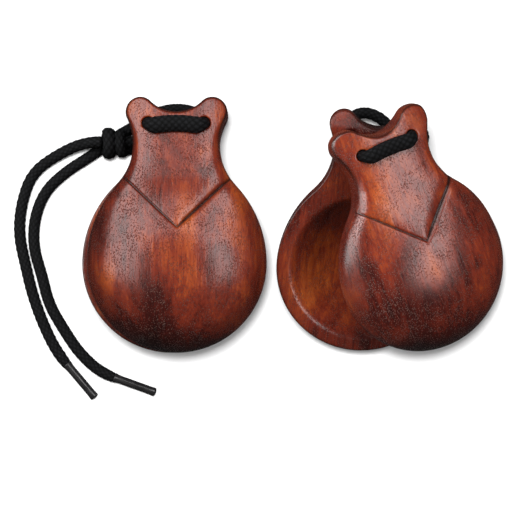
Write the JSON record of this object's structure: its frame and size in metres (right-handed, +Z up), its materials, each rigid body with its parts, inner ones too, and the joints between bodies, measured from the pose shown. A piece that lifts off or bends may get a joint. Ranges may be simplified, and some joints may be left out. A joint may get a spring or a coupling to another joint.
{
  "type": "castanets",
  "caption": "Pair of laced wooden hand castanets: domed, hollowed shells tied at the ears with a round cord that forms thumb loops; one lies closed, the other splayed.",
  "frame": {"origin": "centre of the base of the two castanets' box, on the surface they lie on, cords left out", "axes": "+Z up; +Y from the domes towards the ears; +X from the closed left castanet to the splayed right one"},
  "size_m": [0.1716, 0.1053, 0.0471],
  "materials": {
    "shell_wood": "satin lacquer",
    "lacing_cord": "braided",
    "aglet_plastic": "gloss"
  },
  "bodies": {
    "left_back": {"left_back_shell": "shell_wood", "left_back_lacing": "lacing_cord", "left_thumb_loop": "lacing_cord", "left_loop_return": "lacing_cord", "left_knot": "lacing_cord", "left_tail_outer": "lacing_cord", "left_tail_inner": "lacing_cord", "left_aglet_outer": "aglet_plastic", "left_aglet_inner": "aglet_plastic"},
    "left_link": {"left_link_cords": "lacing_cord"},
    "left_front": {"left_front_shell": "shell_wood", "left_front_lacing": "lacing_cord"},
    "right_back": {"right_back_shell": "shell_wood", "right_back_lacing": "lacing_cord", "right_thumb_loop": "lacing_cord", "right_loop_return": "lacing_cord", "right_knot": "lacing_cord", "right_tail_outer": "lacing_cord", "right_tail_inner": "lacing_cord", "right_aglet_outer": "aglet_plastic", "right_aglet_inner": "aglet_plastic"},
    "right_link": {"right_link_cords": "lacing_cord"},
    "right_front": {"right_front_shell": "shell_wood", "right_front_lacing": "lacing_cord"}
  },
  "joints": [
    {"name": "left_twist", "type": "hinge", "parent": "left_back", "child": "left_link", "pos_m": [-0.0407, 0.0345, 0.01466], "axis": [0, 0.048, 0.9988], "range_deg": [-20, 3]},
    {"name": "left_clap", "type": "hinge", "parent": "left_link", "child": "left_front", "pos_m": [-0.0407, 0.0375, 0.01452], "axis": [-1, 0, 0], "range_deg": [0, 22]},
    {"name": "right_lift", "type": "slide", "parent": "left_back", "child": "right_back", "axis": [0, 0, 1], "range_m": [0, 0.08]},
    {"name": "right_twist", "type": "hinge", "parent": "right_back", "child": "right_link", "pos_m": [0.0278, 0.0286, 0.02802], "axis": [-0.008, -0.2356, 0.9718], "range_deg": [-6, 14]},
    {"name": "right_clap", "type": "hinge", "parent": "right_link", "child": "right_front", "pos_m": [0.02705, 0.03001, 0.03309], "axis": [-0.9008, -0.3797, 0.2109], "range_deg": [0, 22]}
  ]
}
